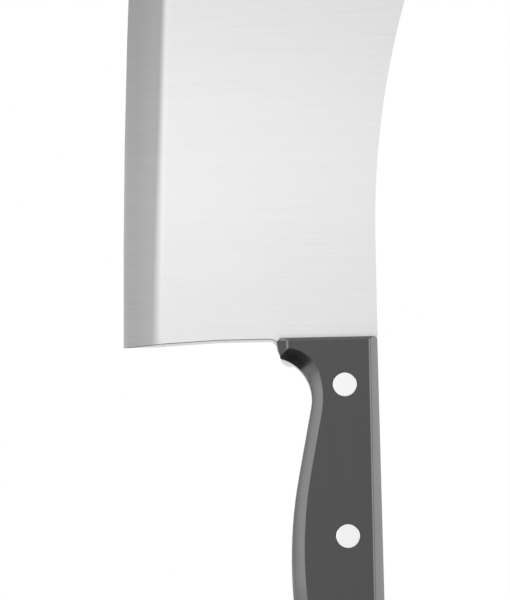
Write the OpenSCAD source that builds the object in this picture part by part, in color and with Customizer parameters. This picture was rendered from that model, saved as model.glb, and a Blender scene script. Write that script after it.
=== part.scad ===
// Full-tang kitchen cleaver: one steel blade and tang between two riveted scales.
// +Z runs along the handle to the tip, +X to the spine, and -Y is the near side.
// The origin is the middle rivet, on the centre plane. Every piece is drawn lying
// on its far side, with Z along y and the near side up, and is stood up at the end.

/* [Blade] */
// Thickness of the steel through the flats
blade_t = 4; // [3.8:0.1:5]
// Length from the front of the handle to the tip
blade_len = 175; // [150:1:190]
// Height at the heel, from the spine to the cutting edge
heel_h = 84.8; // [75:0.1:95]
// From the rivet line to the straight part of the spine
spine_w = 11.35; // [10.5:0.05:13]
// Length of the straight part of the spine
spine_straight = 33; // [20:1:50]
// Radius of the spine's flare towards the tip
flare_r = 276; // [250:1:400]
// Radius of the crowned tip line
tip_r = 300; // [200:5:500]
// Rounding of the tip where it meets the spine
tip_spine_round = 8; // [4:0.5:10]
// Rounding of the tip where it meets the cutting edge
tip_edge_round = 5; // [3:0.5:8]

/* [Cutting edge] */
// Radius of the edge's gentle belly
edge_r = 2815; // [2200:5:3500]
// Lean of the edge at the heel, towards the spine, in degrees
edge_lean = 0.83; // [0:0.01:1.5]
// Width of the ground bevel, from the edge to the middle of its shoulder
grind_w = 11.6; // [8:0.1:16]
// Width over which the shoulder blends into the flat
shoulder_w = 2.4; // [1:0.1:3]
// Width of the fine bevel at the edge
fine_w = 1; // [0.6:0.1:2]
// Thickness at the top of the fine bevel
fine_t = 0.7; // [0.5:0.05:1]
// Thickness left at the very edge
edge_t = 0.1; // [0.05:0.05:0.2]

/* [Heel] */
// How far the heel's corner lies behind the front of the handle
heel_drop = 2.3; // [1.5:0.1:4]
// How far the heel's straight run lies behind the front of the handle
heel_line_drop = 1.3; // [0.5:0.1:2]
// Length of the level run beside the heel's corner
heel_corner_run = 10.5; // [5:0.5:15]
// Length of the slope between the two runs
heel_slope_run = 21; // [12:0.5:30]
// Radius of the corner between the heel and the tang
heel_fillet = 2.7; // [1.5:0.1:4]
// How far the steel shows past the end of the claw
web_w = 0.4; // [0.1:0.05:0.6]

/* [Handle] */
// Spacing of the rivets
rivet_pitch = 50.5; // [46:0.5:54]
// From the front rivet to the front of the scales
front_margin = 15.9; // [14:0.1:18]
// From the rear rivet to the butt
butt_margin = 21; // [19:0.5:24]
// Thickness of the tang between the scales
tang_t = 3.6; // [3:0.1:3.7]
// Thickness of one scale
scale_t = 8.2; // [7.5:0.1:9]
// How far the scale's back sits inside the spine at the front
back_step = 0.15; // [0.05:0.05:0.5]
// How far the back leans out between the front and the butt
back_flare = 0.8; // [0:0.1:2]
// From the rivet line to the front side at the neck
neck_w = 10.95; // [10:0.05:12]
// From the rivet line to the front side at the palm swell
swell_w = 18.9; // [17.5:0.1:21]
// How far the fullest point of the swell lies behind the middle rivet
swell_back = 10.6; // [5:0.1:15]
// Radius of the palm swell
swell_r = 153.4; // [140:0.1:165]
// From the middle rivet to where the swell runs into the hook
swell_end = 44; // [41:0.5:46]

/* [Finger notch] */
// Radius of the notch in the scales
notch_r = 14.05; // [13:0.05:14.5]
// From the front of the scales to the notch's centre
notch_drop = 20.5; // [20:0.1:21.5]
// How far the tang stands proud of the scales at the top of the notch
tang_proud = 0.45; // [0.2:0.05:0.6]
// From the rivet line to the claw at the front of the scales
claw_w = 22.4; // [21.5:0.1:23]
// How far the claw's end leans in towards its tip
claw_lean = 1.2; // [0.8:0.1:1.6]
// Size of the corner cut at the top of the claw
claw_cut = 1.3; // [0.8:0.1:1.6]
// Size of the corner cut at the top of the back
back_cut = 0.9; // [0.5:0.1:1.2]
// Radius of the tang's round nose under the claw
nose_r = 3.4; // [3:0.1:3.8]
// From the front of the scales to the nose's centre
nose_drop = 6.5; // [6:0.1:7]

/* [Butt] */
// Radius of the hollow in front of the hook
hook_r = 24; // [21:0.5:27]
// Rounding of the hook's tip
hook_round = 5; // [4:0.25:6]
// Radius of the butt
butt_r = 60; // [50:1:80]
// How far the lowest point of the butt lies in front of the rivet line
butt_lean = 14; // [10:0.5:16]
// Rounding of the butt's back corner
back_round = 8; // [6:0.5:10]

/* [Scale bevels] */
// Angle of the bevels to the side of the handle, in degrees
bevel_tilt = 45; // [40:1:48]
// Width of the bevel along the neck
bevel_w = 3.65; // [3.2:0.05:4]
// Radius of the bevel's inner line round the top of the notch
notch_bevel_r = 11.75; // [11.3:0.05:12.5]
// Radius of the bevel's inner line above the neck
neck_bevel_r = 29.7; // [28.5:0.1:31]
// Direction in which one radius gives way to the other, in degrees
bevel_turn = 15; // [13:0.5:17]
// How far the inner line of the neck starts behind the outer one
neck_bevel_back = 1.5; // [0.5:0.1:2.5]
// Radius of the bevel's inner line along the swell
swell_bevel_r = 147.1; // [145:0.1:150]
// How far the inner line of the swell starts ahead of the outer one
swell_bevel_ahead = 3.3; // [2.5:0.1:4]
// Radius of the bevel's inner line in the hollow of the hook
hook_bevel_r = 35; // [33:0.5:38]
// Width of the bevel round the butt
butt_bevel_w = 3.4; // [2.5:0.1:3.8]
// Width of the bevel down the end of the claw
claw_bevel_w = 3.9; // [3.5:0.1:4.2]
// Width of the bevel along the back, at the front
back_bevel_w = 2.95; // [2.5:0.05:3.5]
// Width of the bevel along the back, at the butt
back_bevel_end_w = 3.85; // [3:0.05:4.5]
// Width of the chamfer across the front of the scales
front_bevel_w = 1; // [0.6:0.1:1.3]
// Angle of that chamfer to the side of the handle, in degrees
front_bevel_tilt = 60; // [50:1:65]

/* [Rivets] */
// Diameter of a rivet's head
head_d = 8; // [7:0.25:9]
// Thickness of a rivet's head
head_t = 1.5; // [1:0.1:2]
// How far a head stands proud of the scale
head_proud = 0.1; // [0.02:0.02:0.2]
// Chamfer round the rim of a head
head_rim = 0.15; // [0.1:0.05:0.3]
// Outer diameter of the socket's tube
tube_d = 6; // [5:0.25:6.5]
// Diameter of the stud's pin
pin_d = 4; // [3:0.25:4.5]
// Radial clearance between a rivet and its holes
rivet_fit = 0.05; // [0.02:0.01:0.1]
// Radial clearance between the pin and the tube
pin_fit = 0.02; // [0.01:0.01:0.05]
// Room left past the ends of the tube and the pin
end_gap = 0.3; // [0.2:0.1:0.6]
// Solid steel between a socket's head and its bore
bore_floor = 1.5; // [1:0.1:3]

/* [Hanging hole] */
// Diameter of the hole near the tip
hole_d = 9; // [7:0.5:12]
// From the hole's centre to the tip line and to the spine
hole_margin = 14; // [11:0.5:18]

/* [Hidden] */
$fn = 360;
edge_facets = 2880;
shoulder_steps = 6;

steel = [0.8, 0.8, 0.81];
dark_grey = [0.32, 0.32, 0.33];
bright_steel = [0.9, 0.9, 0.91];

// Directions in the plane of the blade
function dir(a) = [cos(a), sin(a)];
function angle_of(v) = atan2(v[1], v[0]);
function unit(v) = v / norm(v);
function turned(v) = [-v[1], v[0]];

// Where two circles meet: 1 is on the left of the way between their centres, -1 on the right
function circles_meet(a, ra, b, rb, side) =
    let (gap = norm(b - a), along = (gap * gap + ra * ra - rb * rb) / (2 * gap))
    a + along * unit(b - a) + side * sqrt(ra * ra - along * along) * turned(unit(b - a));

// The last point where the line through q along t meets a circle
function line_meets(q, t, c, r) =
    let (back = (q - c) * t)
    q + (sqrt(back * back - (q - c) * (q - c) + r * r) - back) * t;

// The points along an arc, after its first
function arc(at, r, from, to) =
    let (steps = ceil(abs(to - from) / acos(1 - arc_sag / r) / 2))
    [for (i = [1:steps]) at + r * dir(from + (to - from) * i / steps)];

// The overrun of cuts, and the reach of shapes that only need to be large enough
over = scale_t / 8;
reach = 2 * scale_t;

// How far the steps of an outline's arc may fall inside the true one
arc_sag = scale_t / 600;

// The handle's front, butt and back
face_z = tang_t / 2 + scale_t;
front_y = rivet_pitch + front_margin;
butt_y = -rivet_pitch - butt_margin;
back_front = [spine_w - back_step, front_y];
back_butt = [spine_w - back_step + back_flare, butt_y];
back_way = unit(back_butt - back_front);
back_out = turned(back_way);

// The centres of the palm swell and of the arcs behind it
swell_at = [swell_r - swell_w, -swell_back];
swell_stop_rise = swell_end - swell_back;
swell_out = -[sqrt(swell_r * swell_r - swell_stop_rise * swell_stop_rise), swell_stop_rise] / swell_r;
swell_stop = swell_at + swell_r * swell_out;
hook_at = swell_stop + hook_r * swell_out;
butt_at = [-butt_lean, butt_y + butt_r];
hook_tip = circles_meet(hook_at, hook_r + hook_round, butt_at, butt_r - hook_round, -1);
back_corner = line_meets(back_front - back_round * back_out, back_way, butt_at, butt_r - back_round);

// The notch, and the straight neck that touches it and the swell: neck is the way across it
notch_at = [-neck_w - notch_r, front_y - notch_drop];
neck = angle_of(swell_at - notch_at) + acos((notch_r + swell_r) / norm(swell_at - notch_at));
neck_across = dir(neck);
neck_along = turned(neck_across);

// The notch of the tang touches the same neck a little further back
tang_notch_r = notch_r - tang_proud / 2;
tang_notch_at = notch_at + (notch_r - tang_notch_r) * neck_across - tang_proud * neck_along;

// The claw's tip lies on the notch, and the steel shows past the claw's end
claw_top = [-claw_w, front_y - claw_cut];
claw_tip_x = claw_lean - claw_w;
claw_tip = [claw_tip_x, notch_at[1] + sqrt(pow(notch_r, 2) - pow(claw_tip_x - notch_at[0], 2))];
claw_way = (claw_tip - claw_top) / (claw_top[1] - claw_tip[1]);
nose_at = [claw_tip_x + nose_r, front_y - nose_drop];
nose_end = circles_meet(nose_at, nose_r, tang_notch_at, tang_notch_r, 1);
web_y = front_y - heel_line_drop - heel_fillet;
web_inner = claw_top + (claw_top[1] - web_y) * claw_way;
web_outer = web_inner - [web_w, 0];

// The blade's heel, and the centres of the arcs round the blade
heel_corner = [spine_w - heel_h, front_y - heel_drop];
edge_at = heel_corner + edge_r * dir(-edge_lean);
flare_at = [spine_w + flare_r, front_y + spine_straight];
tip_at = [(heel_corner[0] + spine_w) / 2, front_y + blade_len - tip_r];
spine_tip = circles_meet(tip_at, tip_r - tip_spine_round, flare_at, flare_r + tip_spine_round, 1);
edge_tip = circles_meet(tip_at, tip_r - tip_edge_round, edge_at, edge_r - tip_edge_round, 1);
hole_at = circles_meet(tip_at, tip_r - hole_margin, flare_at, flare_r + hole_margin, 1);

// The ground bevel: its tilt, and the round shoulder that touches it and the flat
grind_rise = (blade_t - fine_t) / 2;
grind_tilt = atan(grind_rise / (grind_w - fine_w));
shoulder_r = shoulder_w / 2 / tan(grind_tilt / 2);
shoulder_end = grind_w + shoulder_w / 2;
heel_angle = 180 - edge_lean + asin(reach / edge_r);
tip_angle = 180 - asin((front_y + blade_len + reach - edge_at[1]) / edge_r);

// The inner lines of the scales' bevels
bevel_fall = tan(bevel_tilt);
bevel_deep = scale_t - over;
neck_bevel_start = notch_at + (notch_r + bevel_w) * neck_across - neck_bevel_back * neck_along;
neck_bevel_at = neck_bevel_start - neck_bevel_r * neck_across;
notch_bevel_at = neck_bevel_at + (neck_bevel_r - notch_bevel_r) * dir(bevel_turn);
swell_bevel_start = swell_at - (swell_r - bevel_w) * neck_across + swell_bevel_ahead * neck_along;
swell_bevel_at = swell_bevel_start + swell_bevel_r * neck_across;
hook_bevel_at = swell_bevel_at + (swell_bevel_r + hook_bevel_r) * swell_out;
claw_bevel_x = claw_bevel_w - claw_w;
mitre_turn = 30;

// How far a bevel runs on past its seam, where its neighbour takes off as much or more
seam_turn = 10;

// The rivets: where they stand, how deep their heads sit and how deep the socket is bored
rivet_ys = [rivet_pitch, 0, -rivet_pitch];
seat_z = face_z - head_t;
bore_z = seat_z - bore_floor;

// The part of the plane between two directions from a point
module sector(at, from, to, size) {
    half = (to - from) / 2;
    polygon([at, at + size * dir(from), at + size * dir(from + half) / cos(half), at + size * dir(to)]);
}

module plate(z, t) {
    translate([0, 0, z]) linear_extrude(t) children();
}

module stood_up() {
    rotate([90, 0, 0]) children();
}

// The grip's outline from its front round the notch, the swell, the hook and the butt
module grip_outline(front, at, r, from) {
    polygon(concat(
        front,
        arc(at, r, from, neck),
        [swell_at - swell_r * neck_across],
        arc(swell_at, swell_r, neck + 180, angle_of(swell_out) + 360),
        arc(hook_at, hook_r, angle_of(-swell_out), angle_of(hook_tip - hook_at)),
        arc(hook_tip, hook_round, angle_of(hook_at - hook_tip), angle_of(hook_tip - butt_at) + 360),
        arc(butt_at, butt_r, angle_of(hook_tip - butt_at), angle_of(back_corner - butt_at)),
        arc(back_corner, back_round, angle_of(back_corner - butt_at), angle_of(back_out))
    ));
}

module scale_outline() {
    front = [
        back_front - [0, back_cut],
        back_front - [back_cut * 2 / 3, 0],
        claw_top + [claw_cut, claw_cut],
        claw_top,
        claw_tip
    ];
    grip_outline(front, notch_at, notch_r, angle_of(claw_tip - notch_at));
}

module tang_outline() {
    front = [
        back_front + [0, over],
        [web_outer[0], front_y + over],
        web_outer,
        nose_at - [nose_r, 0]
    ];
    nose = arc(nose_at, nose_r, 180, angle_of(nose_end - nose_at) + 360);
    grip_outline(concat(front, nose), tang_notch_at, tang_notch_r, angle_of(nose_end - tang_notch_at));
}

module blade_outline() {
    heel_y = front_y - heel_line_drop;
    fillet_at = web_outer - [heel_fillet, 0];
    polygon(concat(
        [[spine_w, front_y], flare_at - [flare_r, 0]],
        arc(flare_at, flare_r, 180, angle_of(spine_tip - flare_at)),
        arc(spine_tip, tip_spine_round, angle_of(flare_at - spine_tip), angle_of(spine_tip - tip_at)),
        arc(tip_at, tip_r, angle_of(spine_tip - tip_at), angle_of(edge_tip - tip_at)),
        arc(edge_tip, tip_edge_round, angle_of(edge_tip - tip_at), angle_of(edge_tip - edge_at)),
        arc(edge_at, edge_r, angle_of(edge_tip - edge_at), 180 - edge_lean),
        [
            heel_corner + [heel_corner_run, 0],
            [heel_corner[0] + heel_corner_run + heel_slope_run, heel_y],
            [fillet_at[0], heel_y]
        ],
        arc(fillet_at, heel_fillet, 90, 0),
        [web_inner, claw_top, claw_top + [claw_cut, claw_cut]]
    ));
}

// What the grinding takes off the near side: the fine bevel, the ground bevel and its shoulder
module grinding() {
    shoulder = [
        for (i = [0:shoulder_steps])
        let (a = grind_tilt * (1 - i / shoulder_steps))
        [edge_r - shoulder_end + shoulder_r * sin(a), blade_t / 2 - shoulder_r * (1 - cos(a))]
    ];
    translate(edge_at) rotate([0, 0, tip_angle])
        rotate_extrude(angle = heel_angle - tip_angle, $fn = edge_facets)
        polygon(concat(
            [
                [edge_r + over, blade_t / 2 + over],
                [edge_r + over, edge_t / 2 - over * (fine_t - edge_t) / 2 / fine_w],
                [edge_r - fine_w, fine_t / 2]
            ],
            shoulder,
            [[edge_r - shoulder_end, blade_t / 2 + over]]
        ));
}

module blade() {
    color(steel) stood_up() difference() {
        union() {
            plate(-blade_t / 2, blade_t) blade_outline();
            plate(-tang_t / 2, tang_t) tang_outline();
        }
        grinding();
        mirror([0, 0, 1]) grinding();
        translate([hole_at[0], hole_at[1], -blade_t]) cylinder(h = 2 * blade_t, d = hole_d);
        for (y = rivet_ys) translate([0, y, -blade_t]) cylinder(h = 2 * blade_t, d = tube_d + 2 * rivet_fit);
    }
}

// Takes off a hollow bevel, whose inner line is an arc round a point off the scale
module hollow_bevel(at, r, from, to) {
    intersection() {
        plate(face_z - bevel_deep, scale_t) sector(at, from, to, r + reach);
        translate([at[0], at[1], face_z - bevel_deep])
            cylinder(h = scale_t, r1 = r - bevel_deep / bevel_fall, r2 = r + over / bevel_fall);
    }
}

// Takes off a crowned bevel, whose inner line is an arc round a point within the scale
module crowned_bevel(at, r, from, to) {
    difference() {
        plate(face_z - bevel_deep, scale_t) sector(at, from, to, r + reach);
        translate([at[0], at[1], face_z - scale_t])
            cylinder(h = 2 * scale_t, r1 = r + scale_t / bevel_fall, r2 = r - scale_t / bevel_fall);
    }
}

// Takes off a flat bevel on the left of the way along its inner line
module flat_bevel(from, to, fall) {
    translate([from[0], from[1], face_z]) rotate([0, 0, angle_of(to - from)]) rotate([90, 0, 90])
        linear_extrude(norm(to - from))
        polygon([[-over / fall, over], [bevel_deep / fall, -bevel_deep], [reach, -bevel_deep], [reach, over]]);
}

module bevels() {
    hollow_bevel(notch_bevel_at, notch_bevel_r, bevel_turn - seam_turn, bevel_turn + 4 * mitre_turn);
    hollow_bevel(neck_bevel_at, neck_bevel_r, neck - seam_turn, bevel_turn);
    flat_bevel(swell_bevel_start - over * neck_along, neck_bevel_start, bevel_fall);
    crowned_bevel(swell_bevel_at, swell_bevel_r, neck + 180, angle_of(swell_out) + 360);
    hollow_bevel(
        hook_bevel_at, hook_bevel_r,
        angle_of(-swell_out) - 3 * mitre_turn, angle_of(-swell_out) + seam_turn
    );
    crowned_bevel(
        butt_at, butt_r - butt_bevel_w,
        angle_of(hook_tip - butt_at) - mitre_turn, angle_of(back_corner - butt_at) + mitre_turn
    );
    flat_bevel([claw_bevel_x, notch_at[1]], [claw_bevel_x, front_y + over], bevel_fall);
    flat_bevel(
        back_front + [-back_bevel_w, over],
        back_butt - [back_bevel_end_w, over],
        bevel_fall
    );
    flat_bevel(
        [claw_top[0] - over, front_y - front_bevel_w],
        [spine_w + over, front_y - front_bevel_w],
        tan(front_bevel_tilt)
    );
}

// One scale, on the near side of the tang
module handle_scale() {
    difference() {
        plate(tang_t / 2, scale_t) scale_outline();
        bevels();
        for (y = rivet_ys) {
            translate([0, y, 0]) cylinder(h = face_z, d = tube_d + 2 * rivet_fit);
            translate([0, y, seat_z]) cylinder(h = scale_t, d = head_d + 2 * rivet_fit);
        }
    }
}

module near_scale() {
    color(dark_grey) stood_up() handle_scale();
}

module far_scale() {
    color(dark_grey) stood_up() mirror([0, 0, 1]) handle_scale();
}

// A rivet's head, sunk into the near scale with a fine chamfer round its rim
module rivet_head() {
    top = face_z + head_proud;
    rotate_extrude()
        polygon([
            [0, seat_z],
            [head_d / 2, seat_z],
            [head_d / 2, top - head_rim],
            [head_d / 2 - head_rim, top],
            [0, top]
        ]);
}

module rivet_socket(y) {
    color(bright_steel) stood_up() translate([0, y, 0]) difference() {
        union() {
            rivet_head();
            translate([0, 0, end_gap - seat_z]) cylinder(h = 2 * seat_z - end_gap, d = tube_d);
        }
        translate([0, 0, -seat_z]) cylinder(h = seat_z + bore_z, d = pin_d + 2 * pin_fit);
    }
}

module rivet_stud(y) {
    color(bright_steel) stood_up() translate([0, y, 0]) {
        mirror([0, 0, 1]) rivet_head();
        translate([0, 0, -seat_z]) cylinder(h = seat_z + bore_z - end_gap, d = pin_d);
    }
}

blade();
near_scale();
far_scale();
rivet_socket(rivet_ys[0]);  // front_rivet_socket
rivet_socket(rivet_ys[1]);  // middle_rivet_socket
rivet_socket(rivet_ys[2]);  // rear_rivet_socket
rivet_stud(rivet_ys[0]);  // front_rivet_stud
rivet_stud(rivet_ys[1]);  // middle_rivet_stud
rivet_stud(rivet_ys[2]);  // rear_rivet_stud
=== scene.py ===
import math

import bmesh
import bpy
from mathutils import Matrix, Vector


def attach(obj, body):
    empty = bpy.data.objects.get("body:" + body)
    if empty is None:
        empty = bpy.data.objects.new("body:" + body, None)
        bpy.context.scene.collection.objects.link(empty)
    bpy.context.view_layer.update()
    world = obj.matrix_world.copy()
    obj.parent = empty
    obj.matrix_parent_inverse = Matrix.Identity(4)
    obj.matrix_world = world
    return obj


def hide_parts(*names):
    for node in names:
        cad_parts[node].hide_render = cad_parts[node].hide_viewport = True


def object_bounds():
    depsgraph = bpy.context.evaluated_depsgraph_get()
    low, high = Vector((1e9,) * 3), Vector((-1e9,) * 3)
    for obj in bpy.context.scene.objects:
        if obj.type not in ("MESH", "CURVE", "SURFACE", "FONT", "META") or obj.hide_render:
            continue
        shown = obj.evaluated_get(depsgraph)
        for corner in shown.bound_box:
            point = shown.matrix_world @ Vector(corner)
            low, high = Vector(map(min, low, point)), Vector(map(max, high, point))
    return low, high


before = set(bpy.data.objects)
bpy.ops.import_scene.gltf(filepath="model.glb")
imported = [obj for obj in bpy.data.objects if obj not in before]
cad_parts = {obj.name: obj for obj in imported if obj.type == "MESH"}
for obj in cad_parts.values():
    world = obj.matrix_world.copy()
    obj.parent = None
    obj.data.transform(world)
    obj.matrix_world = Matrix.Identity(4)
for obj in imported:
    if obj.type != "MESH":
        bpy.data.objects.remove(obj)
cad_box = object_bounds()


# Studio: a round pale table top under the butt, in a white room, with soft boxes
# in front of the cleaver, on both sides of it and above it. A black card lies on
# the table on the edge's side, and the slope under the claw mirrors it.
class Signal:
    """A socket in a node tree, or the empty tree from which its first nodes come.

    Sums, products and powers of signals and numbers add Math nodes.
    """

    def __init__(self, tree, socket=None):
        self.tree = tree
        self.socket = socket

    def node(self, kind, settings=None, entries=None, output=0):
        """Any node: its settings first, then the values or links of its sockets."""
        made = self.tree.nodes.new("ShaderNode" + kind)
        for name, value in (settings or {}).items():
            setattr(made, name, value)
        for name, value in (entries or {}).items():
            if isinstance(value, Signal):
                self.tree.links.new(value.socket, made.inputs[name])
            else:
                made.inputs[name].default_value = value
        return Signal(self.tree, made.outputs[output]) if made.outputs else None

    def maths(self, operation, *values):
        return self.node("Math", {"operation": operation}, dict(enumerate(values)))

    def __add__(self, other):
        return self.maths("ADD", self, other)

    def __sub__(self, other):
        return self.maths("SUBTRACT", self, other)

    def __rsub__(self, other):
        return self.maths("SUBTRACT", other, self)

    def __mul__(self, other):
        return self.maths("MULTIPLY", self, other)

    def __pow__(self, other):
        return self.maths("POWER", self, other)

    __radd__ = __add__
    __rmul__ = __mul__

    def between(self, low, high):
        """0 below low, 1 above high, and a smooth step from one to the other."""
        return self.node(
            "MapRange",
            {"interpolation_type": "SMOOTHSTEP"},
            {"Value": self, "From Min": low, "From Max": high},
        )


def place_on(nodes):
    """Where a point of the piece lies, in metres."""
    return nodes.node("TexCoord", output="Object")


def part(vector, axis):
    """A vector's X, Y or Z, for an axis of 0, 1 or 2."""
    return vector.node("SeparateXYZ", entries={0: vector}, output=axis)


def is_ray(nodes, kind):
    """1 for what rays of that kind see, otherwise 0."""
    return nodes.node("LightPath", output="Is " + kind + " Ray")


def is_mirrored(nodes):
    """1 for what polished metal or glass shows, otherwise 0."""
    return nodes.maths("MAXIMUM", is_ray(nodes, "Glossy"), is_ray(nodes, "Transmission"))


def faded_out(shader, amount):
    """A shader that gives way to clear air as the amount goes from 0 to 1."""
    air = shader.node("BsdfTransparent")
    return shader.node("MixShader", entries={0: amount, 1: shader, 2: air})


def empty_tree(owner):
    """The node tree of a material or of the world, without its first nodes."""
    owner.use_nodes = True
    owner.node_tree.nodes.clear()
    return Signal(owner.node_tree)


def new_material(name):
    material = bpy.data.materials.new(name)
    return material, empty_tree(material)


def new_object(name, data):
    made = bpy.data.objects.new(name, data)
    bpy.context.scene.collection.objects.link(made)
    return made


crease_angle = math.radians(24)


def new_piece(name, mesh, material):
    """A finished bmesh as an object at the origin, smooth but for its creases."""
    for edge in mesh.edges:
        edge.smooth = edge.calc_face_angle(0) < crease_angle
    for face in mesh.faces:
        face.smooth = True
    data = bpy.data.meshes.new(name)
    mesh.to_mesh(data)
    mesh.free()
    data.materials.append(material)
    return new_object(name, data)


camera_lean = math.radians(1.236)
camera = new_object("camera", bpy.data.cameras.new("camera"))
bpy.context.scene.camera = camera
camera.data.lens = 540
camera.data.sensor_width = 36
camera.data.clip_end = 20
camera.rotation_euler = (math.radians(90), camera_lean, 0)
camera.location = (-0.02927, -3.005, 0.07924)

pure_white = (1, 1, 1, 1)
room_light = 0.55
world = bpy.data.worlds.new("white_room")
bpy.context.scene.world = world
room_nodes = empty_tree(world)
seen = room_nodes.maths("MAXIMUM", is_ray(room_nodes, "Camera"), is_mirrored(room_nodes))
strength = seen * (1 - room_light) + room_light
walls = room_nodes.node("Background", entries={"Color": pure_white, "Strength": strength})
room_nodes.node("OutputWorld", entries={"Surface": walls})

table_height = cad_box[0].z
table_radius = 0.75
fade_start = 0.3 * table_radius
fade_end = 0.98 * table_radius
glow_to_camera = 0.4
floor_mesh = bmesh.new()
bmesh.ops.create_circle(floor_mesh, cap_ends=True, segments=96, radius=table_radius)
bmesh.ops.translate(floor_mesh, verts=floor_mesh.verts, vec=(0, 0, table_height))
floor_paint, table_nodes = new_material("pale_table")
paint = table_nodes.node(
    "BsdfPrincipled",
    entries={"Base Color": (0.86, 0.86, 0.86, 1), "Roughness": 0.9, "Specular IOR Level": 0.1},
)
glow = table_nodes.node("Emission", entries={"Color": pure_white, "Strength": 1.0})
whitened = is_mirrored(table_nodes) + glow_to_camera * is_ray(table_nodes, "Camera")
table_top = table_nodes.node("MixShader", entries={0: whitened, 1: paint, 2: glow})
outwards = table_nodes.node(
    "VectorMath", {"operation": "LENGTH"}, {0: place_on(table_nodes)}, output="Value"
)
table_finish = faded_out(table_top, outwards.between(fade_start, fade_end))
table_nodes.node("OutputMaterial", entries={"Surface": table_finish})
floor = new_piece("table_top", floor_mesh, floor_paint)

# The card is seen only in reflections and stands in for shade. The slope under the claw mirrors
# it as a painted dark reflection. It fades out towards the spine, so the butt mirrors a soft
# painted shade.
card_size = (0.19, 0.096, 1)
card_middle = (-0.075, 0.012, table_height + 0.0003)
card_fade_start = -0.035
card_fade_end = 0.015
flag_mesh = bmesh.new()
bmesh.ops.create_grid(flag_mesh, x_segments=1, y_segments=1, size=0.5)
bmesh.ops.scale(flag_mesh, verts=flag_mesh.verts, vec=card_size)
bmesh.ops.translate(flag_mesh, verts=flag_mesh.verts, vec=card_middle)
flag_paint, card_nodes = new_material("black_card")
black = card_nodes.node(
    "BsdfPrincipled", entries={"Base Color": (0.01, 0.01, 0.01, 1), "Roughness": 1.0}
)
to_spine = part(place_on(card_nodes), 0)
card_finish = faded_out(black, to_spine.between(card_fade_start, card_fade_end))
card_nodes.node("OutputMaterial", entries={"Surface": card_finish})
flag = new_piece("black_flag", flag_mesh, flag_paint)
flag.visible_camera = flag.visible_diffuse = flag.visible_shadow = False


def soft_box(name, at, target, width, height, radiance):
    """A rectangular lamp that shines at a target with an even radiance."""
    lamp = new_object(name, bpy.data.lights.new(name, "AREA"))
    lamp.data.shape = "RECTANGLE"
    lamp.data.size = width
    lamp.data.size_y = height
    lamp.data.energy = math.pi * width * height * radiance
    lamp.location = at
    lamp.rotation_euler = (Vector(target) - Vector(at)).to_track_quat("-Z", "Y").to_euler()
    lamp.visible_camera = False
    return lamp


middle = (-0.02, 0, 0.08)
heel_side = (-0.33, 0, 0.1)
bevel_side = (-0.085, 0, 0.13)
notch = (-0.01, 0, 0.05)
soft_box("front_box", (-0.33, -1.6, 0.1), heel_side, width=0.7, height=0.36, radiance=0.45)
soft_box("near_box", (-0.085, -0.4, 0.13), bevel_side, width=0.25, height=0.06, radiance=0.3)
soft_box("left_box", (-0.88, -0.17, 0.1), middle, width=0.46, height=0.9, radiance=2.4)
notch_box = soft_box(
    "notch_box", (-0.2, -0.005, -0.05), notch, width=0.09, height=0.06, radiance=0.7
)
notch_box.visible_diffuse = False
soft_box("right_box", (0.9, -0.05, 0.1), middle, width=0.7, height=0.9, radiance=2.45)
soft_box("top_box", (0.1, -0.4, 1.1), middle, width=0.9, height=0.9, radiance=0.6)


# Blade: one plate of stainless steel, 4 mm thick, for blade and tang alike.
# Its flats are brushed square to the edge, its bevel is ground with a soft
# shoulder, and the heel's underside is dressed to a low ridge.
edge_centre = Vector((2.74125, 0, 0.0233227))
edge_radius = 2.815
bevel_width = 0.0125
heel_end = -0.0221
underside_low = 0.0622
underside_high = 0.0655
corner_low = 0.0625
corner_high = 0.0668
ridge_slope = 0.55
fillet_centre = Vector((-0.0249289, 0, 0.0624))
rivet_heights = {"front": 0.0505, "middle": 0, "rear": -0.0505}
hole_reach = 0.004


def copy_of(node, merge):
    """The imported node's mesh, its loose triangles joined into whole faces."""
    mesh = bmesh.new()
    mesh.from_mesh(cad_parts[node].data)
    bmesh.ops.remove_doubles(mesh, verts=mesh.verts, dist=merge)
    bmesh.ops.holes_fill(mesh, edges=[edge for edge in mesh.edges if edge.is_boundary])
    flat = math.radians(0.5)
    bmesh.ops.dissolve_limit(mesh, angle_limit=flat, verts=mesh.verts, edges=mesh.edges)
    return mesh


def ease(mesh, edges, width, segments=2):
    """Rounds over sharp edges as a buffing wheel does."""
    bmesh.ops.bevel(
        mesh,
        geom=edges,
        offset=width,
        offset_type="OFFSET",
        affect="EDGES",
        segments=segments,
        profile=0.5,
        material=-1,
        clamp_overlap=True,
        loop_slide=True,
    )


def flatten(piece):
    """Shades flat faces flat, and leaves the turn to the eased edges between them."""
    weight = piece.modifiers.new("flat_faces", "WEIGHTED_NORMAL")
    weight.keep_sharp = True


def is_sharp(edge, degrees):
    """An edge whose two faces turn by more than that."""
    return math.degrees(edge.calc_face_angle(0)) > degrees


def is_at_rivet(edge, reach):
    """An edge that begins within reach of a rivet's axis."""
    start = edge.verts[0].co
    return any(math.hypot(start.x, start.z - height) < reach for height in rivet_heights.values())


def is_outline(edge):
    """An edge of the blade's outline, away from the cutting edge."""
    ends = [vert.co for vert in edge.verts]
    off_bevel = all(edge_radius - (end - edge_centre).xz.length > bevel_width for end in ends)
    along_flat = abs(ends[0].y - ends[1].y) < 0.0001
    return off_bevel and along_flat and is_sharp(edge, 50) and not is_at_rivet(edge, hole_reach)


def is_heel(edge):
    """An edge between a flat and the heel's sloping underside."""
    return all(
        corner_low < vert.co.z < corner_high and vert.co.x < heel_end and abs(vert.co.y) > 0.0015
        for vert in edge.verts
    )


blade_mesh = copy_of("blade", merge=0.00001)
bmesh.ops.bisect_plane(
    blade_mesh,
    geom=blade_mesh.verts[:] + blade_mesh.edges[:] + blade_mesh.faces[:],
    dist=0.000001,
    plane_co=(0, 0, 0),
    plane_no=(0, 1, 0),
)
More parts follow.
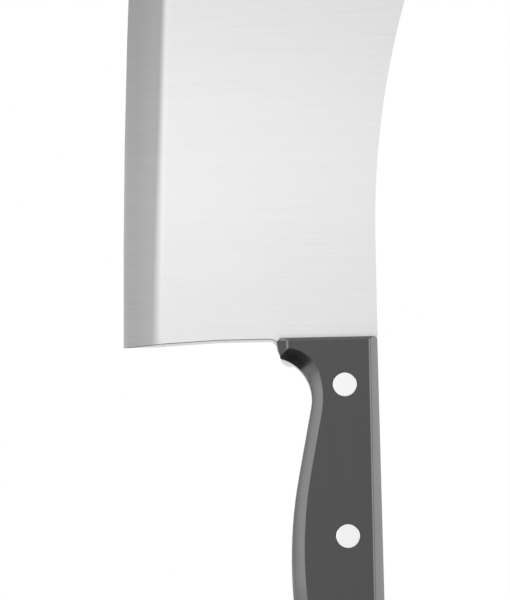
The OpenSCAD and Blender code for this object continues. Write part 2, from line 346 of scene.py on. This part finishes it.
# The underside is ground away towards both flats, and a ridge stays along its middle.
for vert in blade_mesh.verts:
    on_underside = any(abs(face.normal.y) < 0.3 for face in vert.link_faces)
    if on_underside and vert.co.x < heel_end and underside_low < vert.co.z < underside_high:
        away = vert.co - fillet_centre
        inwards = Vector((away.x, 0, away.z)) if away.x > 0 else Vector((0, 0, 1))
        vert.co += inwards.normalized() * ridge_slope * abs(vert.co.y)

heel_edges = [edge for edge in blade_mesh.edges if is_outline(edge) and is_heel(edge)]
ease(blade_mesh, heel_edges, width=0.0004, segments=3)
other_edges = [edge for edge in blade_mesh.edges if is_outline(edge) and not is_heel(edge)]
ease(blade_mesh, other_edges, width=0.00015)


def noise(place, scale, detail):
    """Noise from 0 to 1, with that many grains to a metre of the place."""
    return place.node("TexNoise", entries={"Vector": place, "Scale": scale, "Detail": detail})


def stretched(place, stretch):
    """A place scaled along each axis, so that noise over it runs in streaks."""
    return place.node("Mapping", entries={"Vector": place, "Scale": stretch})


def grey(level):
    return level.node("CombineColor", entries={0: level, 1: level, 2: level})


steel, steel_nodes = new_material("brushed_steel")
steel_place = place_on(steel_nodes)
to_spine, sideways, to_tip = (part(steel_place, axis) for axis in range(3))
off_middle = steel_nodes.maths("ABSOLUTE", sideways)
from_centre = ((to_spine - edge_centre.x) ** 2 + (to_tip - edge_centre.z) ** 2) ** 0.5
from_edge = edge_radius - from_centre

# 1 on the heel, its underside, the ground bevel or the fine edge, and 0 off it.
heel = (
    (1 - to_spine.between(-0.0228, -0.0218))
    * to_tip.between(0.061, 0.0615)
    * (1 - to_tip.between(0.067, 0.069))
)
facing = steel_nodes.node("NewGeometry", output="True Normal")
underside = heel * (1 - part(facing, 2).between(-0.8, -0.6))
shoulder_start = 0.0087 + 0.0019 * to_tip.between(0.07, 0.16)
shoulder_end = 0.0132
bevel = (1 - from_edge.between(shoulder_start, shoulder_end)) * (1 - underside)
fine_edge = (1 - from_edge.between(0.0003, 0.0014)) * (1 - to_tip.between(0.1, 0.17))

# Thin dark lines: the rim all round, dull from its coarser grind, and painted shade along the
# corners where the heel's underside meets the flat and, nearer the edge, the bevel, which
# thickens by bevel_lean.
bevel_lean = 0.16
past_bevel = from_edge.between(0.0126, 0.0129)
rim = (1 - bevel) * (1 - heel) * (1 - off_middle.between(0.0015, 0.0018))
painted_flat_corner_shade = (
    past_bevel
    * heel
    * off_middle.between(0.0015, 0.0016)
    * (1 - off_middle.between(0.00197, 0.00199))
)
painted_bevel_corner_shade = (
    underside
    * (1 - past_bevel)
    * (off_middle - bevel_lean * from_edge).between(-0.0004, -0.00025)
)


def streaks(length, width, detail=2.0):
    """Noise drawn out square to the edge, in streaks of that length and width."""
    drawn_out = stretched(steel_place, (1 / length, 0.3 / width, 1 / width))
    return noise(drawn_out, scale=1.0, detail=detail)


brushing = streaks(length=0.03, width=0.0005, detail=4.0)
bands = streaks(length=0.09, width=0.004)
grinding = streaks(length=0.006, width=0.0004)
scratches = streaks(length=0.012, width=0.00018, detail=3.0)

# The flats' lightness, changed by what the other places take off it or add to it,
# and then by the streaks.
flat_light = 0.653
# The bevel is darker partly because of its coarser grind and partly from painted shade, which is
# darker towards the top and nearer the edge.
bevel_grind_and_painted_shade = 0.281 + 0.055 * to_tip.between(0.1, 0.2) - 0.034 * from_edge.between(0.0035, 0.0098)
# The rim's line comes from its duller grind. The two heel corner lines are painted shade along
# the creases.
dull_rim_and_painted_corner_shade = 0.34 * rim + 0.68 * painted_flat_corner_shade + 0.6 * painted_bevel_corner_shade
# Along the heel's underside, 0.1 is added to the lightness as a painted highlight.
lightness = flat_light - bevel * bevel_grind_and_painted_shade + 0.05 * fine_edge + 0.1 * underside - dull_rim_and_painted_corner_shade
tone = 0.918 + 0.1 * brushing + 0.034 * bands + 0.13 * bevel * (grinding - 0.5)
steel_finish = steel_nodes.node(
    "BsdfPrincipled",
    entries={
        "Base Color": grey(tone * lightness),
        "Metallic": 1.0,
        "Roughness": 0.23 + 0.06 * brushing + 0.16 * bevel + 0.33 * rim - 0.02 * underside,
        "Normal": steel_nodes.node(
            "Bump", entries={"Strength": 0.25, "Distance": 0.00002, "Height": scratches}
        ),
    },
)
steel_nodes.node("OutputMaterial", entries={"Surface": steel_finish})

blade = new_piece("steel_blade", blade_mesh, steel)
flatten(blade)
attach(blade, "root")
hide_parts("blade")


# Scales: two halves of dark moulded plastic, mirror images, riveted to the tang.
# Each has slopes of 45 degrees along the grip and the back, a narrow chamfer at
# the front, a small matt slope at the claw, and softly rounded arrises.
plastic, plastic_nodes = new_material("satin_plastic")
plastic_place = place_on(plastic_nodes)
to_spine, sideways, to_tip = (part(plastic_place, axis) for axis in range(3))
off_middle = plastic_nodes.maths("ABSOLUTE", sideways)
skin = noise(plastic_place, scale=2600.0, detail=3.0)
cloud = noise(plastic_place, scale=60.0, detail=3.0)
drawn = noise(stretched(plastic_place, (700, 700, 20)), scale=1.0, detail=2.0)

# The claw's matt slope, and a dull line along the edge of the back slope.
claw = (
    (1 - to_spine.between(-0.0195, -0.0189))
    * (to_tip - 1.385 * to_spine).between(0.0892, 0.0894)
    * (1 - to_tip.between(0.0653, 0.0657))
)
back_line = (
    to_spine.between(0.006, 0.007)
    * off_middle.between(0.00925, 0.00935)
    * (1 - off_middle.between(0.0095, 0.0096))
)

# The long slopes are crowned by 0.09 mm, highest halfway up, at slope_middle off the
# centre plane, and slope_half from there to either side.
slope_middle = 0.0081
slope_half = 0.0019
crown_curve = -24
off_slope = plastic_nodes.maths("MAXIMUM", off_middle - slope_middle, -slope_half)
crown = plastic_nodes.node(
    "Bump", entries={"Strength": 1.0, "Distance": 1.0, "Height": off_slope ** 2 * crown_curve}
)
plastic_finish = plastic_nodes.node(
    "BsdfPrincipled",
    entries={
        "Base Color": grey(0.002 * cloud + 0.001 * skin + 0.019 * drawn),
        "Roughness": 0.2 + 0.08 * cloud + 0.43 * claw + 0.3 * back_line,
        "IOR": 1.72,
        "Normal": plastic_nodes.node(
            "Bump",
            entries={"Strength": 0.12, "Distance": 0.00003, "Height": skin, "Normal": crown},
        ),
    },
)
plastic_nodes.node("OutputMaterial", entries={"Surface": plastic_finish})

steel_side = 0.002
seat_reach = 0.0045
for node in ("near_scale", "far_scale"):
    scale_mesh = copy_of(node, merge=0.00003)
    for _ in range(3):
        bmesh.ops.dissolve_degenerate(scale_mesh, edges=scale_mesh.edges, dist=0.000002)
    outer = [
        edge
        for edge in scale_mesh.edges
        if is_sharp(edge, 28)
        and all(abs(vert.co.y) > steel_side for vert in edge.verts)
        and not is_at_rivet(edge, seat_reach)
    ]
    ease(scale_mesh, outer, width=0.0002)
    scale = new_piece("plastic_" + node, scale_mesh, plastic)
    flatten(scale)
    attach(scale, "root")
    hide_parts(node)


# Rivets: three pairs of turned and polished steel, pressed into each other.
# The socket's head and tube come from the near side, the stud's head and pin
# from the far side, and both heads lie almost flush in the scales.
head_radius = 0.004
head_top = 0.0101
head_seat = 0.0086
rim_round = 0.00024
tube_radius = 0.003
tube_end = 0.0083
bore_radius = 0.00202
bore_floor = -0.0071
pin_radius = 0.002
pin_end = -0.0068

bright, bright_nodes = new_material("polished_steel")
scuffs = noise(place_on(bright_nodes), scale=900.0, detail=4.0)
bright_finish = bright_nodes.node(
    "BsdfPrincipled",
    entries={
        "Base Color": grey(0.74 + 0.05 * scuffs),
        "Metallic": 1.0,
        "Roughness": 0.16 + 0.08 * scuffs,
        "Normal": bright_nodes.node(
            "Bump", entries={"Strength": 0.05, "Distance": 0.00002, "Height": scuffs}
        ),
    },
)
bright_nodes.node("OutputMaterial", entries={"Surface": bright_finish})


def turned_piece(name, profile, height, replaced):
    """A profile of (radius, depth) points, turned round the rivet's axis."""
    mesh = bmesh.new()
    verts = [mesh.verts.new((radius, depth, height)) for radius, depth in profile]
    edges = [mesh.edges.new(pair) for pair in zip(verts, verts[1:])]
    bmesh.ops.spin(
        mesh,
        geom=verts + edges,
        cent=(0, 0, height),
        axis=(0, 1, 0),
        angle=2 * math.pi,
        steps=72,
        use_merge=True,
    )
    bmesh.ops.remove_doubles(mesh, verts=mesh.verts, dist=0.000001)
    bmesh.ops.recalc_face_normals(mesh, faces=mesh.faces)
    piece = new_piece(name, mesh, bright)
    flatten(piece)
    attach(piece, "root")
    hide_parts(replaced)


def head(side):
    """A rivet head's profile on that side, from its middle round its rim to its seat."""
    flat_top = [(share * head_radius, head_top) for share in (0, 0.5, 0.9)]
    round_rim = [
        (
            head_radius - rim_round + rim_round * math.sin(turn),
            head_top - rim_round + rim_round * math.cos(turn),
        )
        for turn in (0, 0.4, 0.8, 1.2, math.pi / 2)
    ]
    profile = flat_top + round_rim + [(head_radius, head_seat)]
    return [(radius, side * depth) for radius, depth in profile]


socket = head(-1) + [
    (tube_radius, -head_seat),
    (tube_radius, tube_end),
    (bore_radius, tube_end),
    (bore_radius, bore_floor),
    (0, bore_floor),
]
stud = head(1) + [(pin_radius, head_seat), (pin_radius, pin_end), (0, pin_end)]
for place, height in rivet_heights.items():
    turned_piece("rivet_socket_" + place, socket, height, place + "_rivet_socket")
    turned_piece("rivet_stud_" + place, stud, height, place + "_rivet_stud")


bpy.context.scene.view_settings.view_transform = "Standard"
